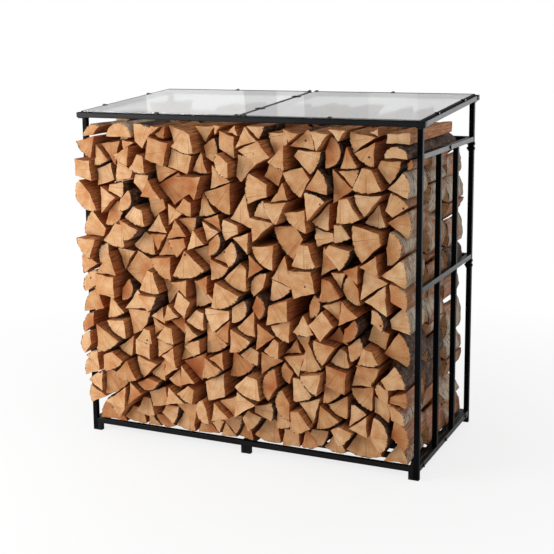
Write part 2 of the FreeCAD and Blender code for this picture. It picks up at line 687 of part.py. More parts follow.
def heights_at(outline, x):
    """Every z at which an outline's edges pass x."""
    found = []
    for (x0, z0), (x1, z1) in edges_of(outline):
        if x0 - 1e-9 <= x <= x1 + 1e-9:
            found += [z0, z1] if x1 - x0 < 1e-9 else [z0 + (z1 - z0) * (x - x0) / (x1 - x0)]
    return found


def rest_height(outline, others, floor):
    """How far up an outline goes so that it just stands on the floor or on one of the others."""
    low_x = min(x for x, z in outline)
    high_x = max(x for x, z in outline)
    lift = floor - min(z for x, z in outline)
    for other in others:
        begin = max(low_x, other["low_x"])
        end = min(high_x, other["high_x"])
        if end <= begin or other["top"] < lift + min(z for x, z in outline):
            continue
        places = [begin, end] + [x for x, z in outline + other["outline"] if begin < x < end]
        for x in places:
            lift = max(lift, max(heights_at(other["outline"], x)) - min(heights_at(outline, x)))
    return lift


def rested(section, angle, shift, others, floor):
    """A log with a section turned by an angle, moved along x and let down on the others."""
    corners, bark, radius = section
    outline = [(x + shift, z) for x, z in turned(boxed_in(*section), angle)]
    lift = rest_height(outline, others, floor) + size("log_gap")
    outline = [(x, z + lift) for x, z in outline]
    return {
        "corners": [(x + shift, z + lift) for x, z in turned(corners, angle)],
        "pith": (shift, lift),
        "bark": bark,
        "radius": radius,
        "outline": outline,
        "low_x": min(x for x, z in outline),
        "high_x": max(x for x, z in outline),
        "bottom": min(z for x, z in outline),
        "top": max(z for x, z in outline),
    }


def room_between(ceiling, low_x, high_x):
    return min(ceiling(low_x), ceiling((low_x + high_x) / 2), ceiling(high_x))


def turned_wrong(bark, angle, room_left, room_right):
    """0 where a log at the end of a row lies against the side frame with its bark outwards, else more."""
    room = min(room_left, room_right)
    if room > BESIDE_FRAME:
        # inside the row a log lies best on its bark
        return 0.0 if bark is None else 0.06 * (1 + math.sin(angle))
    outward = -1 if room_left < room_right else 1
    inwards = 1.6 if bark is None else 1 - outward * math.cos(angle)
    return END_WEIGHT * (inwards + 1.5 * room / BESIDE_FRAME)


def best_place(chance, top, where, scale, ceiling):
    """The section, angle and shift along x that leave the least empty space over the lowest dip."""
    best = None
    for _ in range(5):
        section = split_section(chance, scale)
        outline = boxed_in(*section)
        start = chance.uniform(0, 2 * math.pi)
        for number in range(12):
            angle = start + number * math.pi / 6
            points = turned(outline, angle)
            first_x = min(x for x, z in points)
            tallest = max(z for x, z in points)
            count = math.ceil((max(x for x, z in points) - first_x) / SPACING) + 1
            low, high = heights(points, first_x, count)
            used = [k for k in range(count) if low[k] is not None]
            area = sum(high[k] - low[k] for k in used)
            offsets = list(range(max(0, where - count + 2), min(where + 1, len(top) - count + 1), 2))
            for offset in offsets + [len(top) - count]:
                if not 0 <= offset <= where < offset + count:
                    continue
                z = max(top[offset + k] - low[k] for k in used)
                low_x = offset * SPACING - STACK_HALF_WIDTH
                if z + tallest > room_between(ceiling, low_x, low_x + count * SPACING):
                    continue
                waste = sum(z + low[k] - top[offset + k] for k in used)
                score = waste / area + 0.0022 * (z + tallest - top[where])
                room_right = (len(top) - offset - count) * SPACING
                score += turned_wrong(section[1], angle, offset * SPACING, room_right)
                if best is None or score < best[0]:
                    best = (score, section, angle, low_x - first_x, offset, count)
    return best


def stack(seed, scale, ceiling):
    """Logs of one row, laid one by one in the lowest dip of the stack until it is full."""
    chance = random.Random(seed)
    top = [FLOOR] * (int(2 * STACK_HALF_WIDTH / SPACING) + 1)
    logs = []
    tries = 0
    while min(top) < FULL:
        base = min(top)
        where = top.index(base)
        left = where
        while left > 0 and top[left - 1] < base + SHALLOWEST_DIP:
            left -= 1
        right = where
        while right < len(top) - 1 and top[right + 1] < base + SHALLOWEST_DIP:
            right += 1
        width = (right - left + 1) * SPACING
        if width < NARROWEST_DIP or tries > 4:
            # too narrow for a log, or too near the roof: the dip stays empty
            rim = min([FULL] + top[max(left - 1, 0):left] + top[right + 1:right + 2])
            if tries > 4 and width > 3 * NARROWEST_DIP:
                rim = FULL
            for number in range(left, right + 1):
                top[number] = max(top[number], rim)
            tries = 0
            continue
        best = best_place(chance, top, where, scale * (1 - 0.13 * tries), ceiling)
        tries += 1
        if best is None:
            continue
        score, section, angle, shift, offset, count = best
        log = rested(section, angle, shift, logs, FLOOR)
        if log["top"] > room_between(ceiling, log["low_x"], log["high_x"]):
            continue
        tries = 0
        logs.append(log)
        low, high = heights(log["outline"], offset * SPACING - STACK_HALF_WIDTH, count)
        for number, height in enumerate(high):
            if height is not None and top[offset + number] < FULL:
                top[offset + number] = max(top[offset + number], height)
    return logs


def solid_log(log, front, length):
    """Prism with a log's section, from its front end to its back end."""
    corners = [Vector(x, front, z) for x, z in log["corners"]]
    edges = []
    for number, (start, end) in enumerate(zip(corners, corners[1:] + corners[:1])):
        if number == log["bark"]:
            pith_x, pith_z = log["pith"]
            first = math.atan2(start.z - pith_z, start.x - pith_x)
            last = math.atan2(end.z - pith_z, end.x - pith_x)
            across, up = polar(log["radius"], first + (last - first) % (2 * math.pi) / 2)
            edges.append(Part.Arc(start, Vector(pith_x + across, front, pith_z + up), end).toShape())
        else:
            edges.append(Part.LineSegment(start, end).toShape())
    return Part.Face(Part.Wire(edges)).extrude(Vector(0, length, 0))


def keep_logs(label, logs):
    row = doc.addObject("Part::Feature", label)
    row.Shape = Part.makeCompound([solid_log(log, log["front"], log["back"] - log["front"]) for log in logs])
    row.Placement = Placement()
    keep(row, label)


def stand_out(log):
    """How far a log of the front row stands out past the front posts, before its scatter."""
    middle_x = (log["low_x"] + log["high_x"]) / 2
    return size("front_row_reach") - size("front_row_skew") * middle_x / INNER_HALF_WIDTH


def clear_front(log, default, row_in_front):
    """Front end of a log: its row's, or just behind the logs that it meets in the row in front."""
    ends = [default]
    for other in row_in_front:
        meets_x = other["low_x"] < log["high_x"] and log["low_x"] < other["high_x"]
        meets_z = other["bottom"] < log["top"] and log["bottom"] < other["top"]
        if meets_x and meets_z:
            ends.append(other["back"] + size("row_gap"))
    return max(ends)


# the ground that the three long logs take on top of the rows: low x, high x and height
LONG = size("long_log_width")
BIRCH = LONG * 1.25
birch_x = -STACK_HALF_WIDTH + BIRCH
LONG_PLACES = (
    (STACK_HALF_WIDTH - LONG, STACK_HALF_WIDTH, LONG * 1.06),
    (birch_x, birch_x + BIRCH, BIRCH / 2),
)
FRONT_END = -HALF_DEPTH - size("front_row_reach")
BOTTOM_FRONT = -HALF_DEPTH + size("row_gap")    # the lowest logs lie over the front rails
LENGTH = size("log_length")
BACK_END = INNER_HALF_DEPTH - size("back_row_play")
BACK_START = BACK_END - LENGTH
MIDDLE_START = (FRONT_END + size("front_row_scatter") + BACK_START) / 2


def ceiling_of(row_front):
    """How high a row may be at each x, under the roof and the long logs."""
    roof = roof_underside(max(row_front, ROOF_FRONT)) - size("stack_headroom")
    front_roof = roof_underside(ROOF_FRONT) - size("stack_headroom")

    def ceiling(x):
        for low_x, high_x, height in LONG_PLACES:
            if low_x - SPACING < x < high_x + SPACING:
                return front_roof - height - 2 * size("log_gap")
        return roof
    return ceiling


chance = random.Random(5)
front_row = stack(19, 1.1, ceiling_of(FRONT_END))
for log in front_row:
    forward = min(1, (log["bottom"] - FLOOR) / size("reach_rise"))
    scatter = size("front_row_scatter") * chance.uniform(-1, 1)
    reach = min(size("front_row_limit"), stand_out(log) + scatter)
    log["front"] = BOTTOM_FRONT - forward * (HALF_DEPTH + reach + BOTTOM_FRONT)
    log["back"] = log["front"] + LENGTH - size("log_length_scatter") * chance.random()
keep_logs("front_row_logs", front_row)

middle_row = stack(13, 1.25, ceiling_of(MIDDLE_START))
for log in middle_row:
    # it lies halfway between the rows in front of it and behind it
    front_row_end = LENGTH - HALF_DEPTH - stand_out(log)
    log["front"] = clear_front(log, (front_row_end + BACK_START - LENGTH) / 2, front_row)
    room = (BACK_END - size("row_gap") - log["front"]) / 2
    log["back"] = log["front"] + min(room, LENGTH - size("log_length_scatter") * chance.random())
keep_logs("middle_row_logs", middle_row)

back_row = stack(1, 1.1, ceiling_of(BACK_START))
for log in back_row:
    log["back"] = BACK_END - size("log_length_scatter") * chance.random()
    log["front"] = clear_front(log, log["back"] - LENGTH, middle_row)
keep_logs("back_row_logs", back_row)

# three long logs lie along the top of the rows
long_logs = []
half_round = (corner_fan(LONG / 2, math.pi / 2), 0, LONG / 2)
squared = ([polar(LONG / 2, angle) for angle in (-0.45, 0.5, 2.75, 3.5)], None, LONG / 2)
thick_half_round = (corner_fan(BIRCH / 2, math.pi / 2), 0, BIRCH / 2)
right_x = STACK_HALF_WIDTH - LONG / 2
for section, angle, x, share in ((half_round, math.pi / 2, right_x, 1), (squared, 0, right_x, 0.88),
                                 (thick_half_round, math.pi / 2, birch_x + BIRCH / 2, 1.15)):
    log = rested(section, angle, x, front_row + middle_row + back_row + long_logs, FLOOR)
    log["front"] = FRONT_END + size("front_row_scatter") * chance.uniform(-1, 1)
    log["back"] = log["front"] + size("long_log_length") * share
    long_logs.append(log)
keep_logs("long_top_logs", long_logs)


# ---------------------------------------------------------------- check and write
doc.recompute()
for thing in doc.Objects:
    if "Invalid" in thing.State or "Error" in thing.State:
        raise RuntimeError("%s is not valid: %s" % (thing.Label, thing.State))
names = [piece.Label for piece in pieces]
if len(set(names)) != len(names):
    raise RuntimeError("two sub-parts share a name")
for piece in pieces:
    if piece.Shape.isNull() or not piece.Shape.isValid():
        raise RuntimeError("%s has no valid shape" % piece.Label)

os.makedirs("parts", exist_ok=True)
for piece in pieces:
    piece.Shape.exportStep(os.path.join("parts", piece.Label + ".step"))
print("%d sub-parts written" % len(pieces))
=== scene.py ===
import math

import bpy
import numpy as np
from mathutils import Matrix, Vector


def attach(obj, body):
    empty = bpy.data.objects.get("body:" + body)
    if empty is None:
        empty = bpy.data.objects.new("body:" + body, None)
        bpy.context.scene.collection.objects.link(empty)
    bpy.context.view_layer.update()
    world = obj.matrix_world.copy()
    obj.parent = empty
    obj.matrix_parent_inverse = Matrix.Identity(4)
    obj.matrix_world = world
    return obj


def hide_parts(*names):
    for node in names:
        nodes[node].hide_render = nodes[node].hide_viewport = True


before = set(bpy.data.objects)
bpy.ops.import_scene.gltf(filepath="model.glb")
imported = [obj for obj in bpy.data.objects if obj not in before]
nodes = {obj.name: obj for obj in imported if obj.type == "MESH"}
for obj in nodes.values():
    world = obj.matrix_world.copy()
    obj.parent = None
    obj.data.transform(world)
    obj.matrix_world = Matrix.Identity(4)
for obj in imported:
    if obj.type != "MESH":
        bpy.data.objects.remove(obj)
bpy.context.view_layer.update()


# ---- Welded and bolted frame -------------------------------------------------------------------
# Bottom frames, side frames, back rails and roof frames are cold-rolled square steel tube with rounded
# edges. After welding they are blasted and powder coated in satin black.

def linear(hex_colour):
    """sRGB hex to linear: the standard curve, a straight toe and a 2.4 power above it."""
    channels = [int(hex_colour[place:place + 2], 16) / 255 for place in (1, 3, 5)]
    return [c / 12.92 if c <= 0.04045 else ((c + 0.055) / 1.055) ** 2.4 for c in channels] + [1.0]


def add(tree, kind, links=None, **settings):
    """Adds one node. A setting is an input socket, by name or number, a property of the node, or stops,
    the (place, sRGB hex) pairs of a colour ramp; links gives sockets the outputs that feed them."""
    node = tree.nodes.new(kind)
    for name, value in settings.items():
        if name == "stops":
            for place, _ in value[2:]:
                node.color_ramp.elements.new(place)
            for element, (place, colour) in zip(node.color_ramp.elements, value):
                element.position = place
                element.color = linear(colour)
        elif hasattr(node, name):
            setattr(node, name, value)
        else:
            key = int(name[1:]) if name[0] == "_" else name.replace("_", " ")
            node.inputs[key].default_value = value
    for name, source in (links or {}).items():
        tree.links.new(source, node.inputs[name])
    return node


def new_material(name):
    """A material with an empty node tree and its output node."""
    material = bpy.data.materials.new(name)
    material.use_nodes = True
    material.node_tree.nodes.clear()
    return material, material.node_tree, material.node_tree.nodes.new("ShaderNodeOutputMaterial")


def dress(name, material):
    """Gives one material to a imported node."""
    for holder in nodes[name].material_slots:
        holder.material = material


# satin polyester powder coat on steel: near black with a cold cast, and a fine orange-peel skin about
# 3 mm across, drawn at 6 mm so that it still softens the reflections. The coat flows out smoother, and so
# mirrors more, on tubes that lie level than on the posts and bars. Rain and sun have dulled the upper faces
# of the roof frame.
roof_low = np.array(nodes["right_roof_front_beam"].bound_box)[:, 2].min()
LEVEL_COAT_IOR = 1.25
UPRIGHT_COAT_IOR = 1.1
coats = []
for finish, coat_ior in (("powder_coated_level_steel", LEVEL_COAT_IOR),
                         ("powder_coated_upright_steel", UPRIGHT_COAT_IOR)):
    powder_coat, tree, out = new_material(finish)
    place = add(tree, "ShaderNodeTexCoord").outputs["Object"]
    peel = add(tree, "ShaderNodeTexNoise", {"Vector": place}, Scale=160.0, Detail=2.0)
    cloud = add(tree, "ShaderNodeTexNoise", {"Vector": place}, Scale=9.0, Detail=3.0)
    black = add(tree, "ShaderNodeValToRGB", {"Fac": cloud.outputs["Fac"]},
                stops=((0.3, "#08090b"), (0.7, "#0d0f12")))
    satin = add(tree, "ShaderNodeMapRange", {"Value": cloud.outputs["Fac"]}, To_Min=0.36, To_Max=0.44)
    facing = add(tree, "ShaderNodeNewGeometry").outputs["Normal"]
    upward = add(tree, "ShaderNodeSeparateXYZ", {"Vector": facing})
    height = add(tree, "ShaderNodeSeparateXYZ", {"Vector": place})
    on_top = add(tree, "ShaderNodeMapRange", {"Value": upward.outputs["Z"]}, From_Min=0.8, From_Max=0.97,
                 To_Max=0.45)
    on_roof = add(tree, "ShaderNodeMapRange", {"Value": height.outputs["Z"]}, From_Min=roof_low - 0.03,
                  From_Max=roof_low - 0.01)
    rough = add(tree, "ShaderNodeMath",
                {0: on_top.outputs["Result"], 1: on_roof.outputs["Result"], 2: satin.outputs["Result"]},
                operation="MULTIPLY_ADD")
    bump = add(tree, "ShaderNodeBump", {"Height": peel.outputs["Fac"]}, Strength=0.06, Distance=0.0005)
    shell = add(tree, "ShaderNodeBsdfPrincipled",
                {"Base Color": black.outputs["Color"], "Normal": bump.outputs["Normal"],
                 "Roughness": rough.outputs["Value"]}, IOR=coat_ior)
    tree.links.new(shell.outputs["BSDF"], out.inputs["Surface"])
    coats.append(powder_coat)

level_coat, upright_coat = coats
for name in nodes:
    if any(word in name for word in ("bolts", "nuts", "plugs", "caps", "screws")):
        continue
    if any(word in name for word in ("post", "bar")):
        dress(name, upright_coat)
    elif any(word in name for word in ("rail", "slats", "legs", "beam", "plates")):
        dress(name, level_coat)


# ---- Bolts, nuts, screws and pane clips --------------------------------------------------------
# Hexagon bolts join the frames and pan-head screws hold the small pressed clips on the panes. All are
# black zinc plated steel.

# black zinc: a little lighter and shinier than the coat, with handling marks
black_zinc, tree, out = new_material("black_zinc_plated_steel")
place = add(tree, "ShaderNodeTexCoord").outputs["Object"]
marks = add(tree, "ShaderNodeTexNoise", {"Vector": place}, Scale=220.0, Detail=4.0)
black = add(tree, "ShaderNodeValToRGB", {"Fac": marks.outputs["Fac"]},
            stops=((0.35, "#17181a"), (0.75, "#2c2d30")))
rough = add(tree, "ShaderNodeMapRange", {"Value": marks.outputs["Fac"]}, To_Min=0.3, To_Max=0.5)
plated = add(tree, "ShaderNodeBsdfPrincipled",
             {"Base Color": black.outputs["Color"], "Roughness": rough.outputs["Result"]}, Metallic=0.6)
tree.links.new(plated.outputs["BSDF"], out.inputs["Surface"])

for name in nodes:
    if any(word in name for word in ("bolts", "nuts", "screws", "clips")):
        dress(name, black_zinc)


# ---- Foot caps, beam caps and plugs ------------------------------------------------------------
# Injection-moulded polyethylene inserts close the ends of the posts, legs and roof beams and the spare
# holes of the front posts. They are pushed in.

# black polyethylene: matt, slightly greyer than the coat, lightly scuffed
polyethylene, tree, out = new_material("moulded_black_polyethylene")
place = add(tree, "ShaderNodeTexCoord").outputs["Object"]
scuffs = add(tree, "ShaderNodeTexNoise", {"Vector": place}, Scale=120.0, Detail=5.0)
grey = add(tree, "ShaderNodeValToRGB", {"Fac": scuffs.outputs["Fac"]},
           stops=((0.4, "#141516"), (0.8, "#242526")))
rough = add(tree, "ShaderNodeMapRange", {"Value": scuffs.outputs["Fac"]}, To_Min=0.5, To_Max=0.65)
moulded = add(tree, "ShaderNodeBsdfPrincipled",
              {"Base Color": grey.outputs["Color"], "Roughness": rough.outputs["Result"]}, IOR=1.5)
tree.links.new(moulded.outputs["BSDF"], out.inputs["Surface"])

for name in ("foot_caps", "roof_beam_caps", "front_post_plugs"):
    dress(name, polyethylene)


# ---- Panes and their bedding tape --------------------------------------------------------------
# Two panes of 4 mm float glass close the roof. Each lies on a strip of black foam tape and is held by
# eight clips.

# foam rubber: matt black with tiny pores
foam, tree, out = new_material("black_foam_rubber")
place = add(tree, "ShaderNodeTexCoord").outputs["Object"]
pores = add(tree, "ShaderNodeTexNoise", {"Vector": place}, Scale=400.0, Detail=2.0)
black = add(tree, "ShaderNodeValToRGB", {"Fac": pores.outputs["Fac"]},
            stops=((0.4, "#0e0f10"), (0.7, "#1b1c1d")))
soft = add(tree, "ShaderNodeBsdfPrincipled", {"Base Color": black.outputs["Color"]}, Roughness=0.9)
tree.links.new(soft.outputs["BSDF"], out.inputs["Surface"])

# float glass that has stood outdoors: a whitish film hides more the flatter it is looked along, partly dust
# and partly a painted reflection of the white surround, with a few rain-washed clearer patches, and a slight
# roller wave breaks up long reflections. Along the outer and back beams its margin is drawn dark, matt and
# opaque.
# widths of the pane's dark, matt, opaque margin along the outer beam and along the back beam
SIDE_DARK_MARGIN = 0.007
BACK_DARK_MARGIN = 0.018
pane_right, pane_back, _ = np.array(nodes["right_roof_glass"].bound_box).max(axis=0)
glass, tree, out = new_material("dusty_float_glass_with_painted_reflection")
place = add(tree, "ShaderNodeTexCoord").outputs["Object"]
way = add(tree, "ShaderNodeSeparateXYZ", {"Vector": place})
beside = add(tree, "ShaderNodeMath", {0: way.outputs["X"]}, operation="ABSOLUTE")
outer = add(tree, "ShaderNodeMath", {0: beside.outputs["Value"]}, operation="GREATER_THAN",
            _1=pane_right - SIDE_DARK_MARGIN)
back = add(tree, "ShaderNodeMath", {0: way.outputs["Y"]}, operation="GREATER_THAN",
           _1=pane_back - BACK_DARK_MARGIN)
dark_margin = add(tree, "ShaderNodeMath", {0: outer.outputs["Value"], 1: back.outputs["Value"]},
             operation="MAXIMUM")
wave = add(tree, "ShaderNodeTexNoise", {"Vector": place}, Scale=2.5, Detail=1.0)
bump = add(tree, "ShaderNodeBump", {"Height": wave.outputs["Fac"]}, Strength=0.05, Distance=0.01)
# a whitish film that thickens the flatter the pane is seen: partly dust, partly a painted reflection of the
# white surround
flat = add(tree, "ShaderNodeLayerWeight", Blend=0.5)
dust_and_painted_reflection = add(tree, "ShaderNodeMapRange", {"Value": flat.outputs["Facing"]}, From_Min=0.5, From_Max=0.88,
           To_Min=0.9, To_Max=0.52)
washed = add(tree, "ShaderNodeMath", {0: wave.outputs["Fac"], 2: dust_and_painted_reflection.outputs["Result"]},
             operation="MULTIPLY_ADD", _1=0.15)
through = add(tree, "ShaderNodeMath", {0: washed.outputs["Value"], 1: dark_margin.outputs["Value"]},
              operation="SUBTRACT", use_clamp=True)
# near white where the film hides the pane, partly dust and partly painted reflection; near black on the dark
# margin
tint = add(tree, "ShaderNodeMix", {0: dark_margin.outputs["Value"]}, data_type="RGBA", _6=linear("#eceeed"),
           _7=linear("#0b0c0d"))
rough = add(tree, "ShaderNodeMapRange", {"Value": dark_margin.outputs["Value"]}, To_Min=0.03, To_Max=0.8)
clear = add(tree, "ShaderNodeBsdfPrincipled",
            {"Base Color": tint.outputs[2], "Roughness": rough.outputs["Result"],
             "Normal": bump.outputs["Normal"], "Transmission Weight": through.outputs["Value"]}, IOR=1.52)
tree.links.new(clear.outputs["BSDF"], out.inputs["Surface"])

for side in ("left", "right"):
    dress(side + "_roof_glazing_tape", foam)
    dress(side + "_roof_glass", glass)


# ---- Split logs --------------------------------------------------------------------------------
# Beech and birch rounds are sawn to stove length and split lengthways. The sawn ends are pale and flat,
# the split faces are darker and fibrous, and the bark is left on.

END, SPLIT, BROWN_BARK, BIRCH_BARK = range(4)
ARC_TURN = math.radians(15.5)     # round bark turns less than this from edge to edge, a corner more
STEPS_PER_METRE = 5e4             # points within 0.02 mm of each other are one
FRONT_REACH = 1e-4                # a log's front face is flat to 0.1 mm
PITH_SCATTER = 0.05               # a log with no bark has its pith this far from its middle or so
NO_BARK = 9.0                     # and a bark radius too large to be met
BARK_SHARE = 1.7                  # bark gets this many points for each one of a split face as long
LEAST_DEPTH = 0.0008              # every point is drawn in by this at least
UNEVEN = ((2, 0.0013), (5, 0.0009), (9, 0.0006))     # waves round a section, and half the depth of each
DRIFT = 2.5                       # how far the waves turn from end to end, in radians or so
RAGGED_BARK = 0.003               # what chance adds to the depth, on bark
RAGGED_SPLIT = 0.0006             # and on a split face
MOST_LEAN = 0.1                   # slope of the most slanting saw cut


def read_logs(name):
    """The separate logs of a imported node, each as its points: triangles that share points pass their
    lowest point number on until nothing changes, and each number left is one log."""
    mesh = nodes[name].data
    mesh.calc_loop_triangles()
    points = np.empty(len(mesh.vertices) * 3)
    mesh.vertices.foreach_get("co", points)
    corners = np.empty(len(mesh.loop_triangles) * 3, dtype=np.int32)
    mesh.loop_triangles.foreach_get("vertices", corners)
    steps = np.round(points.reshape(-1, 3) * STEPS_PER_METRE).astype(np.int64)
    grid, joined = np.unique(steps, axis=0, return_inverse=True)
    triangles = joined.reshape(-1)[corners].reshape(-1, 3)
    number = np.arange(len(grid))
    while True:
        lowest = np.repeat(number[triangles].min(axis=1), 3)
        passed = number.copy()
        np.minimum.at(passed, triangles.ravel(), lowest)
        if (passed == number).all():
            break
        number = passed
    order = np.argsort(number, kind="stable")
    starts = np.flatnonzero(np.diff(number[order])) + 1
    return [grid[group] / STEPS_PER_METRE for group in np.split(order, starts)]


def section_of(log, chance):
    """A log's section as sides between corners, with its pith, the bark's radius and both ends. The
    section is the front points in order round their middle; a gentle turn from edge to edge is round
    bark, a sharp one is a corner, and the pith is the middle of the circle through three bark points."""
    front = log[:, 1].min()
    outline = log[log[:, 1] < front + FRONT_REACH][:, (0, 2)]
    middle = outline.mean(axis=0)
    outline = outline[np.argsort(np.arctan2(*(outline - middle).T[::-1]))]
    ahead = np.roll(outline, -1, axis=0) - outline
    behind = np.roll(ahead, 1, axis=0)
    turn = np.arctan2(behind[:, 0] * ahead[:, 1] - behind[:, 1] * ahead[:, 0], (behind * ahead).sum(axis=1))
    corner = np.flatnonzero(turn > ARC_TURN)
    outline = np.roll(outline, -corner[0], axis=0)
    corner = corner - corner[0]
    sides = [np.vstack([outline, outline[:1]])[begin:end + 1]
             for begin, end in zip(corner, list(corner[1:]) + [len(outline)])]
    pith = middle + chance.normal(0, PITH_SCATTER, 2)
    radius = NO_BARK
    for side in sides:
        if len(side) > 2:
            (ax, az), (bx, bz), (cx, cz) = side[0], side[len(side) // 2], side[-1]
            wide = 2 * (ax * (bz - cz) + bx * (cz - az) + cx * (az - bz))
            squares = np.array([ax * ax + az * az, bx * bx + bz * bz, cx * cx + cz * cz])
            pith = np.array([squares @ (bz - cz, cz - az, az - bz),
                             squares @ (cx - bx, ax - cx, bx - ax)]) / wide
            radius = math.hypot(ax - pith[0], az - pith[1])
    return sides, pith, radius, front, log[:, 1].max()


def spread(sides, count):
    """Puts count points round the sides, keeping each corner and giving bark more points than a split
    face has, and says which points start an edge of bark."""
    lengths = np.array([np.linalg.norm(np.diff(side, axis=0), axis=1).sum() for side in sides])
    weights = lengths * np.array([BARK_SHARE if len(side) > 2 else 1.0 for side in sides])
    share = np.maximum(1, np.floor(weights / weights.sum() * count)).astype(int)
    while share.sum() != count:
        gap = weights / share if share.sum() < count else np.where(share > 1, share / weights, 0)
        share[np.argmax(gap)] += 1 if share.sum() < count else -1
    points = []
    for side, parts in zip(sides, share):
        along = np.concatenate([[0], np.cumsum(np.linalg.norm(np.diff(side, axis=0), axis=1))])
        wanted = np.linspace(0, along[-1], parts + 1)[:-1]
        points.append(np.stack([np.interp(wanted, along, side[:, 0]),
                                np.interp(wanted, along, side[:, 1])], axis=1))
    bark = np.concatenate([np.full(parts, len(side) > 2) for side, parts in zip(sides, share)])
    return np.vstack(points), bark


def split_logs(name, node, count, stations, birch_share, darkest):
    """Builds every log of a node. A log is its section carried from its front end to its back end through
    a few stations. Each point is drawn in towards the log's middle, by a few sines round the outline that
    drift along the length and by a chance of its own, which is larger on bark. So the wood is uneven but
    never larger than its solid. Both sawn ends lean inwards a little."""
    logs = read_logs(node)
    chance = np.random.default_rng(len(logs))
    logs = [section_of(log, chance) for log in logs]
    rings = [spread(sides, count) for sides, *_ in logs]
    outline = np.stack([points for points, _ in rings])
    bark = np.stack([flags for _, flags in rings])
    pith = np.stack([log[1] for log in logs])
    radius = np.array([log[2] for log in logs])
    front = np.array([log[3] for log in logs])
    back = np.array([log[4] for log in logs])
    total = len(logs)
    steps = len(stations)

    middle = outline.mean(axis=1, keepdims=True)
    away = outline - middle
    reach = np.linalg.norm(away, axis=2, keepdims=True)
    round_way = np.arange(count) / count * 2 * math.pi
    share = np.array(stations)[None, :, None]
    depth = np.full((total, steps, count), LEAST_DEPTH)
    for waves, size in UNEVEN:
        phase = chance.uniform(0, 2 * math.pi, (total, 1, 1))
        drift = chance.normal(0, DRIFT, (total, 1, 1)) * share
        depth += size * (1 + np.sin(waves * round_way[None, None, :] + phase + drift))
    on_bark = bark | np.roll(bark, 1, axis=1)
    ragged = np.where(on_bark, RAGGED_BARK, RAGGED_SPLIT)[:, None, :]
    depth += chance.uniform(0, 1, (total, steps, count)) * ragged
    section = outline[:, None] - (away / reach)[:, None] * depth[..., None]

    lean = chance.uniform(0, MOST_LEAN, (total, 2, 1))
    heading = chance.uniform(0, 2 * math.pi, (total, 2, 1))
    across = away[:, None, :, 0] * np.cos(heading) + away[:, None, :, 1] * np.sin(heading)
    cut = lean * (across + reach[:, None, :, 0].max(axis=2, keepdims=True))
    ends = (front[:, None] + cut[:, 0])[:, None] * (1 - share) + (back[:, None] - cut[:, 1])[:, None] * share
    points = np.stack([section[..., 0], ends, section[..., 1]], axis=-1).reshape(-1, 3)

    here = np.arange(count)
    there = np.roll(here, -1)
    ring = (np.arange(steps - 1) * count)[:, None]
    walls = np.stack([ring + here, ring + count + here, ring + count + there, ring + there],
                     axis=-1).reshape(-1, 4)
    first = np.arange(total)[:, None, None] * steps * count
    walls = (first + walls[None]).reshape(-1, 4)
    caps = np.concatenate([first[:, 0] + here, first[:, 0] + (steps - 1) * count + here[::-1]])
    mesh = bpy.data.meshes.new(name)
    mesh.from_pydata(points, [], walls.tolist() + caps.tolist())

    birch = chance.uniform(0, 1, total) < birch_share(outline[..., 0].max(axis=1),
                                                      outline[..., 0].min(axis=1))
    bark_kind = np.where(birch, BIRCH_BARK, BROWN_BARK)[:, None, None]
    kinds = np.where(np.repeat(bark[:, None], steps - 1, axis=1), bark_kind, SPLIT).reshape(-1)
    kinds = np.concatenate([kinds, np.full(2 * total, END)]).astype(np.int32)
    mesh.polygons.foreach_set("material_index", kinds)
    mesh.polygons.foreach_set("use_smooth", kinds >= BROWN_BARK)
    uv = mesh.uv_layers.new(name="section")
    corners = np.empty(len(mesh.loops), dtype=np.int32)
    mesh.loops.foreach_get("vertex_index", corners)
    of_log = corners // (steps * count)
    uv.data.foreach_set("uv", (points[corners][:, (0, 2)] - pith[of_log]).ravel())
    for attribute, values in (("tone", chance.uniform(0, darkest, total)), ("bark_radius", radius)):
        layer = mesh.attributes.new(attribute, "FLOAT", "POINT")
        layer.data.foreach_set("value", np.repeat(values, steps * count).astype(np.float32))
    mesh.validate()
    stack = bpy.data.objects.new(name, mesh)
    bpy.context.scene.collection.objects.link(stack)
    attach(stack, "root")
    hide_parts(node)
    return stack


# sawn end: pale air-dried beech with faint rings, radial checks, saw marks and a ragged dark bark line
sawn_end, tree, out = new_material("sawn_end_grain")
section = add(tree, "ShaderNodeUVMap", uv_map="section").outputs["UV"]
place = add(tree, "ShaderNodeTexCoord").outputs["Object"]
tone = add(tree, "ShaderNodeAttribute", attribute_name="tone").outputs["Fac"]
bark_radius = add(tree, "ShaderNodeAttribute", attribute_name="bark_radius").outputs["Fac"]
base = add(tree, "ShaderNodeValToRGB", {"Fac": tone},
           stops=((0.0, "#dbb88d"), (0.35, "#d2aa7c"), (0.75, "#caa070"), (1.0, "#bb8655")))
blotch = add(tree, "ShaderNodeTexNoise", {"Vector": place}, Scale=28.0, Detail=5.0)
blotch_share = add(tree, "ShaderNodeMapRange", {"Value": blotch.outputs["Fac"]}, From_Min=0.35, From_Max=0.75)
blotched = add(tree, "ShaderNodeMix", {0: blotch_share.outputs["Result"], 6: base.outputs["Color"]},
               data_type="RGBA", blend_type="MULTIPLY", _7=linear("#e3bf9b"))
# the darker a log, the redder its heart, which fades out from 25 to 60 mm off the pith
out_way = add(tree, "ShaderNodeVectorMath", {0: section}, operation="LENGTH").outputs["Value"]
heart = add(tree, "ShaderNodeMapRange", {"Value": out_way}, From_Min=0.025, From_Max=0.06, To_Min=1.0,
            To_Max=0.0)
red_heart = add(tree, "ShaderNodeMath", {0: heart.outputs["Result"], 1: tone}, operation="MULTIPLY")
hearted = add(tree, "ShaderNodeMix", {0: red_heart.outputs["Value"], 6: blotched.outputs[2]},
              data_type="RGBA", blend_type="MULTIPLY", _7=linear("#e6bb90"))
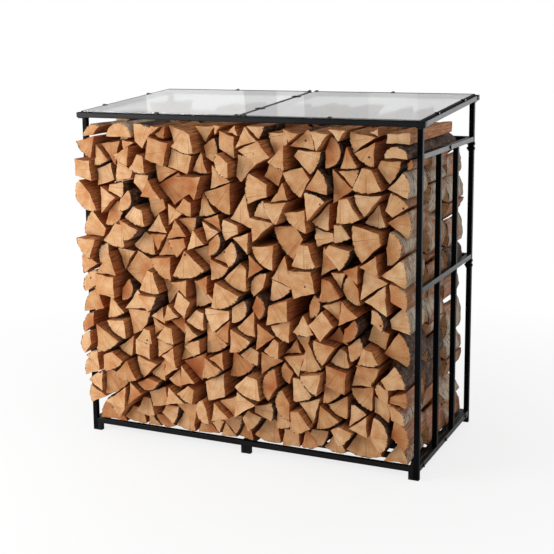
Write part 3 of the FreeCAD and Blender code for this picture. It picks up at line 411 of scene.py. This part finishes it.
# growth rings are 2 to 3 mm apart, drawn at 6 mm so that they show
RING_WIDTH = 0.006
wobble = add(tree, "ShaderNodeTexNoise", {"Vector": place}, Scale=30.0, Detail=2.0)
wobbled = add(tree, "ShaderNodeMath", {0: wobble.outputs["Fac"], 2: out_way}, operation="MULTIPLY_ADD",
              _1=0.02)
turns = add(tree, "ShaderNodeMath", {0: wobbled.outputs["Value"]}, operation="MULTIPLY",
            _1=2 * math.pi / RING_WIDTH)
rings_wave = add(tree, "ShaderNodeMath", {0: turns.outputs["Value"]}, operation="SINE")
ring_share = add(tree, "ShaderNodeMapRange", {"Value": rings_wave.outputs["Value"]}, From_Min=-1.0,
                 To_Max=0.3)
ringed = add(tree, "ShaderNodeMix", {0: ring_share.outputs["Result"], 6: hearted.outputs[2]},
             data_type="RGBA", blend_type="MULTIPLY", _7=linear("#bf936a"))
# fine drying checks run out from the pith
ray_way = add(tree, "ShaderNodeVectorMath", {0: section}, operation="NORMALIZE").outputs["Vector"]
rays = add(tree, "ShaderNodeTexNoise", {"Vector": ray_way}, Scale=14.0, Detail=2.0)
on_ray = add(tree, "ShaderNodeMath", {0: rays.outputs["Fac"]}, operation="COMPARE", _1=0.5, _2=0.006)
checked = add(tree, "ShaderNodeMix", {0: on_ray.outputs["Value"], 6: ringed.outputs[2]},
              data_type="RGBA", blend_type="MULTIPLY", _7=linear("#a87a52"))
# a few ends have a dark knot, up to 9 mm wide
knots = add(tree, "ShaderNodeTexVoronoi", {"Vector": place}, Scale=11.0, feature="F1")
near_knot = add(tree, "ShaderNodeMath", {0: knots.outputs["Distance"]}, operation="LESS_THAN", _1=0.05)
knotted = add(tree, "ShaderNodeMix", {0: near_knot.outputs["Value"], 6: checked.outputs[2]},
              data_type="RGBA", blend_type="MULTIPLY", _7=linear("#6b4128"))
# the bark's edge: dark from 2 to 9 mm in, ragged where the saw tore it
tear = add(tree, "ShaderNodeTexNoise", {"Vector": place}, Scale=130.0, Detail=3.0)
thickness = add(tree, "ShaderNodeMapRange", {"Value": tear.outputs["Fac"]}, From_Min=0.4, From_Max=0.65,
                To_Min=0.002, To_Max=0.009)
inside = add(tree, "ShaderNodeMath", {0: bark_radius, 1: out_way}, operation="SUBTRACT")
rim = add(tree, "ShaderNodeMath", {0: inside.outputs["Value"], 1: thickness.outputs["Result"]},
          operation="LESS_THAN")
barked = add(tree, "ShaderNodeMix", {0: rim.outputs["Value"], 6: knotted.outputs[2]},
             data_type="RGBA", _7=linear("#3d2618"))
saw = add(tree, "ShaderNodeTexNoise", {"Vector": place}, Scale=300.0, Detail=3.0)
bump = add(tree, "ShaderNodeBump", {"Height": saw.outputs["Fac"]}, Strength=0.5, Distance=0.0015)
wood = add(tree, "ShaderNodeBsdfPrincipled",
           {"Base Color": barked.outputs[2], "Normal": bump.outputs["Normal"]},
           Roughness=0.8, IOR=1.45)
tree.links.new(wood.outputs["BSDF"], out.inputs["Surface"])

# split face: long torn fibres, redder and darker than the sawn end, drawn 4 mm wide and 70 mm long
split_face, tree, out = new_material("split_face")
place = add(tree, "ShaderNodeTexCoord").outputs["Object"]
tone = add(tree, "ShaderNodeAttribute", attribute_name="tone").outputs["Fac"]
base = add(tree, "ShaderNodeValToRGB", {"Fac": tone},
           stops=((0.0, "#d79a62"), (0.5, "#c6844e"), (1.0, "#b06c3c")))
long_way = add(tree, "ShaderNodeMapping", {"Vector": place}, Scale=(1.0, 0.06, 1.0))
fibre = add(tree, "ShaderNodeTexNoise", {"Vector": long_way.outputs["Vector"]}, Scale=230.0, Detail=5.0)
streaks = add(tree, "ShaderNodeMapRange", {"Value": fibre.outputs["Fac"]}, From_Min=0.35, From_Max=0.65)
streaked = add(tree, "ShaderNodeMix", {0: streaks.outputs["Result"], 6: base.outputs["Color"]},
               data_type="RGBA", blend_type="MULTIPLY", _7=linear("#bd8c62"))
bump = add(tree, "ShaderNodeBump", {"Height": fibre.outputs["Fac"]}, Strength=0.7, Distance=0.003)
wood = add(tree, "ShaderNodeBsdfPrincipled",
           {"Base Color": streaked.outputs[2], "Normal": bump.outputs["Normal"]},
           Roughness=0.85, IOR=1.45)
tree.links.new(wood.outputs["BSDF"], out.inputs["Surface"])

# brown bark: plates 9 mm wide and 30 mm long with dark cracks and a grey-brown bloom
brown_bark, tree, out = new_material("ridged_brown_bark")
place = add(tree, "ShaderNodeTexCoord").outputs["Object"]
long_way = add(tree, "ShaderNodeMapping", {"Vector": place}, Scale=(1.0, 0.3, 1.0))
plates = add(tree, "ShaderNodeTexVoronoi", {"Vector": long_way.outputs["Vector"]}, Scale=110.0, feature="F1")
bloom = add(tree, "ShaderNodeTexNoise", {"Vector": place}, Scale=30.0, Detail=5.0)
bloomed = add(tree, "ShaderNodeValToRGB", {"Fac": bloom.outputs["Fac"]},
              stops=((0.35, "#5b3f2d"), (0.5, "#7d5e49"), (0.68, "#a48b78")))
cracked = add(tree, "ShaderNodeMix", {0: plates.outputs["Distance"], 6: bloomed.outputs["Color"]},
              data_type="RGBA", blend_type="MULTIPLY", _7=linear("#5e4334"))
low_plates = add(tree, "ShaderNodeMath", {0: plates.outputs["Distance"]}, operation="MULTIPLY", _1=-1.0)
bump = add(tree, "ShaderNodeBump", {"Height": low_plates.outputs["Value"]}, Strength=0.8, Distance=0.004)
wood = add(tree, "ShaderNodeBsdfPrincipled",
           {"Base Color": cracked.outputs[2], "Normal": bump.outputs["Normal"]},
           Roughness=0.9, IOR=1.45)
tree.links.new(wood.outputs["BSDF"], out.inputs["Surface"])

# birch bark: chalky skin with dark cross marks up to 30 mm long; the darker logs are peeled to tan
birch_bark, tree, out = new_material("birch_bark")
place = add(tree, "ShaderNodeTexCoord").outputs["Object"]
tone = add(tree, "ShaderNodeAttribute", attribute_name="tone").outputs["Fac"]
cross_way = add(tree, "ShaderNodeMapping", {"Vector": place}, Scale=(0.35, 1.6, 0.35))
marks = add(tree, "ShaderNodeTexNoise", {"Vector": cross_way.outputs["Vector"]}, Scale=90.0, Detail=3.0)
skin = add(tree, "ShaderNodeValToRGB", {"Fac": marks.outputs["Fac"]},
           stops=((0.0, "#d6c3aa"), (0.56, "#c8b397"), (0.6, "#4d3828"), (1.0, "#2b1d14")))
peel = add(tree, "ShaderNodeTexNoise", {"Vector": place}, Scale=12.0, Detail=4.0)
peeled = add(tree, "ShaderNodeMath", {0: tone, 2: peel.outputs["Fac"]}, operation="MULTIPLY_ADD", _1=0.35)
patch = add(tree, "ShaderNodeMapRange", {"Value": peeled.outputs["Value"]}, From_Min=0.63, From_Max=0.7)
long_way = add(tree, "ShaderNodeMapping", {"Vector": place}, Scale=(1.0, 0.12, 1.0))
under = add(tree, "ShaderNodeTexNoise", {"Vector": long_way.outputs["Vector"]}, Scale=110.0, Detail=4.0)
inner_bark = add(tree, "ShaderNodeValToRGB", {"Fac": under.outputs["Fac"]},
                 stops=((0.3, "#7c492a"), (0.5, "#ab6b3f"), (0.7, "#c48c5c")))
patched = add(tree, "ShaderNodeMix",
              {0: patch.outputs["Result"], 6: skin.outputs["Color"], 7: inner_bark.outputs["Color"]},
              data_type="RGBA")
bump = add(tree, "ShaderNodeBump", {"Height": marks.outputs["Fac"]}, Strength=0.3, Distance=0.002)
wood = add(tree, "ShaderNodeBsdfPrincipled",
           {"Base Color": patched.outputs[2], "Normal": bump.outputs["Normal"]},
           Roughness=0.7, IOR=1.45)
tree.links.new(wood.outputs["BSDF"], out.inputs["Surface"])


NEAR_SIDE = np.array(nodes["right_front_post"].bound_box)[:, 0].min() - 0.04
BIRCH_AT_SIDE = 0.9
BIRCH_ELSEWHERE = 0.03


def mostly_outside(most_right, most_left):
    """The share of birch: high where a log comes within 40 mm of a side frame, low elsewhere."""
    at_side = (most_right > NEAR_SIDE) | (most_left < -NEAR_SIDE)
    return np.where(at_side, BIRCH_AT_SIDE, BIRCH_ELSEWHERE)


def left_one(most_right, most_left):
    """The share of birch: all of a log that lies wholly left of the middle, none of the others."""
    return most_right < 0


# a row's logs have five sections each and the long logs seven, with two close together at the front end;
# the front row has the most points round a section
stations = (0.0, 0.02, 0.3, 0.65, 1.0)
long_stations = (0.0, 0.01, 0.2, 0.4, 0.6, 0.8, 1.0)
for name, node, count, places, birch_share, darkest in (
        ("front_logs", "front_row_logs", 32, stations, mostly_outside, 1.0),
        ("middle_logs", "middle_row_logs", 18, stations, mostly_outside, 1.0),
        ("back_logs", "back_row_logs", 18, stations, mostly_outside, 1.0),
        # the long logs keep to the palest fifth of the tones: painted light, paler wood for the light that
        # falls on them from the right
        ("long_logs", "long_top_logs", 24, long_stations, left_one, 0.2)):
    stack = split_logs(name, node, count, places, birch_share, darkest)
    for material in (sawn_end, split_face, brown_bark, birch_bark):
        stack.data.materials.append(material)


# ---- Studio ------------------------------------------------------------------------------------
# A pale seamless floor and surround, white behind the rack and dim in front of it, a large soft box at
# the front left, a card at the back right that only shows as a gleam, and three pale windows at the back
# left that show in the panes.

FLOOR_REACH = 40
FLOOR_GAP = 0.0005      # under the feet, so that no face lies in the floor
WHITE_IN_FRONT = 0.1    # what a reflection sees of the white in front of the rack
WHITE_BEHIND = 0.66     # and behind it
floor_mesh = bpy.data.meshes.new("floor")
floor_mesh.from_pydata([(x * FLOOR_REACH, y * FLOOR_REACH, -FLOOR_GAP)
                        for x, y in ((-1, -1), (1, -1), (1, 1), (-1, 1))], [], [(0, 1, 2, 3)])
floor = bpy.data.objects.new("floor", floor_mesh)
bpy.context.scene.collection.objects.link(floor)


def seen_white(tree, way, ambient):
    """How white the backdrop is to the ray that meets it: full for the camera and through glass, dim to a
    reflection in front of the rack and brighter behind it, by way, and ambient to what it lights."""
    path = add(tree, "ShaderNodeLightPath")
    behind = add(tree, "ShaderNodeMapRange", {"Value": way}, From_Min=-0.4, From_Max=0.4,
                 To_Min=WHITE_IN_FRONT, To_Max=WHITE_BEHIND)
    mirrored = add(tree, "ShaderNodeMath", {0: path.outputs["Is Glossy Ray"], 1: behind.outputs["Result"]},
                   operation="MULTIPLY")
    lit = add(tree, "ShaderNodeMath", {0: path.outputs["Is Diffuse Ray"], 2: mirrored.outputs["Value"]},
              operation="MULTIPLY_ADD", _1=ambient)
    straight = add(tree, "ShaderNodeMath",
                   {0: path.outputs["Is Camera Ray"], 1: path.outputs["Is Transmission Ray"]},
                   operation="MAXIMUM")
    return add(tree, "ShaderNodeMath", {0: straight.outputs["Value"], 1: lit.outputs["Value"]},
               operation="MAXIMUM").outputs["Value"]


# matt paper: it takes the rack's shadow, which fades from 0.9 m out to plain white at 2.5 m
paper, tree, out = new_material("pale_floor_paper")
place = add(tree, "ShaderNodeTexCoord").outputs["Object"]
far = add(tree, "ShaderNodeVectorMath", {0: place}, operation="LENGTH").outputs["Value"]
fade = add(tree, "ShaderNodeMapRange", {"Value": far}, From_Min=0.9, From_Max=2.5, To_Min=0.8, To_Max=1.0)
across = add(tree, "ShaderNodeSeparateXYZ", {"Vector": place})
share = add(tree, "ShaderNodeMath",
            {0: seen_white(tree, across.outputs["Y"], 0.0), 1: fade.outputs["Result"]}, operation="MULTIPLY")
matt = add(tree, "ShaderNodeBsdfDiffuse", Color=linear("#f4f4f4"))
glow = add(tree, "ShaderNodeEmission", Color=(1, 1, 1, 1), Strength=1.0)
mixed = add(tree, "ShaderNodeMixShader",
            {0: share.outputs["Value"], 1: matt.outputs["BSDF"], 2: glow.outputs["Emission"]})
tree.links.new(mixed.outputs["Shader"], out.inputs["Surface"])
floor_mesh.materials.append(paper)

world = bpy.data.worlds.new("surround")
bpy.context.scene.world = world
world.use_nodes = True
tree = world.node_tree
tree.nodes.clear()
way = add(tree, "ShaderNodeTexCoord").outputs["Generated"]
across = add(tree, "ShaderNodeSeparateXYZ", {"Vector": way})
white = add(tree, "ShaderNodeBackground", {"Strength": seen_white(tree, across.outputs["Y"], 0.6)},
            Color=(1, 1, 1, 1))
surround = tree.nodes.new("ShaderNodeOutputWorld")
tree.links.new(white.outputs["Background"], surround.inputs["Surface"])


def soft_light(name, place, target, width, height, radiance, lights_matt=True):
    """A rectangular soft box that faces a point; the camera doesn't see it. Its power is its area times
    pi times how bright its face is. One that doesn't light matt surfaces only shows in shiny ones."""
    lamp = bpy.data.lights.new(name, "AREA")
    lamp.shape = "RECTANGLE"
    lamp.size = width
    lamp.size_y = height
    lamp.energy = math.pi * width * height * radiance
    holder = bpy.data.objects.new(name, lamp)
    holder.location = place
    holder.rotation_euler = (Vector(target) - Vector(place)).to_track_quat("-Z", "Y").to_euler()
    holder.visible_camera = False
    holder.visible_diffuse = lights_matt
    bpy.context.scene.collection.objects.link(holder)


soft_light("front_left_box", place=(-2.2, -2.35, 1.3), target=(0.1, 0, 0.65), width=1.8, height=1.8,
           radiance=7.9)
soft_light("back_right_card", place=(2.3, 3.4, 0.95), target=(0.7, 0, 0.6), width=1.8, height=1.9,
           radiance=3.2, lights_matt=False)
for number, (x, width, radiance) in enumerate(((-2.35, 0.75, 0.28), (-1.55, 0.2, 0.22), (-0.75, 0.35, 0.1))):
    soft_light("window_%d" % number, place=(x, 3.6, 1.9), target=(0, 0, 1.3), width=width, height=1.6,
               radiance=radiance)

bpy.context.scene.view_settings.view_transform = "Standard"

# the eye stands off the right front corner, a little above the roof: turned 24.6 degrees to the left,
# looking 9.7 degrees down and leaning half a degree
eye = (1.87384, -4.08044, 1.63727)
turn, dip, tilt = 0.42855, 0.16964, 0.00889
level = Vector((math.cos(turn), math.sin(turn), 0))
ahead = Vector((-math.sin(turn) * math.cos(dip), math.cos(turn) * math.cos(dip), -math.sin(dip)))
upright = level.cross(ahead)
right_way = level * math.cos(tilt) - upright * math.sin(tilt)
up_way = level * math.sin(tilt) + upright * math.cos(tilt)
lens = bpy.data.cameras.new("camera")
lens.sensor_width = 36
lens.lens = 74.1405
lens.shift_y = -0.1
camera = bpy.data.objects.new("camera", lens)
camera.matrix_world = Matrix.Translation(eye) @ Matrix((right_way, up_way, -ahead)).transposed().to_4x4()
bpy.context.scene.collection.objects.link(camera)
bpy.context.scene.camera = camera
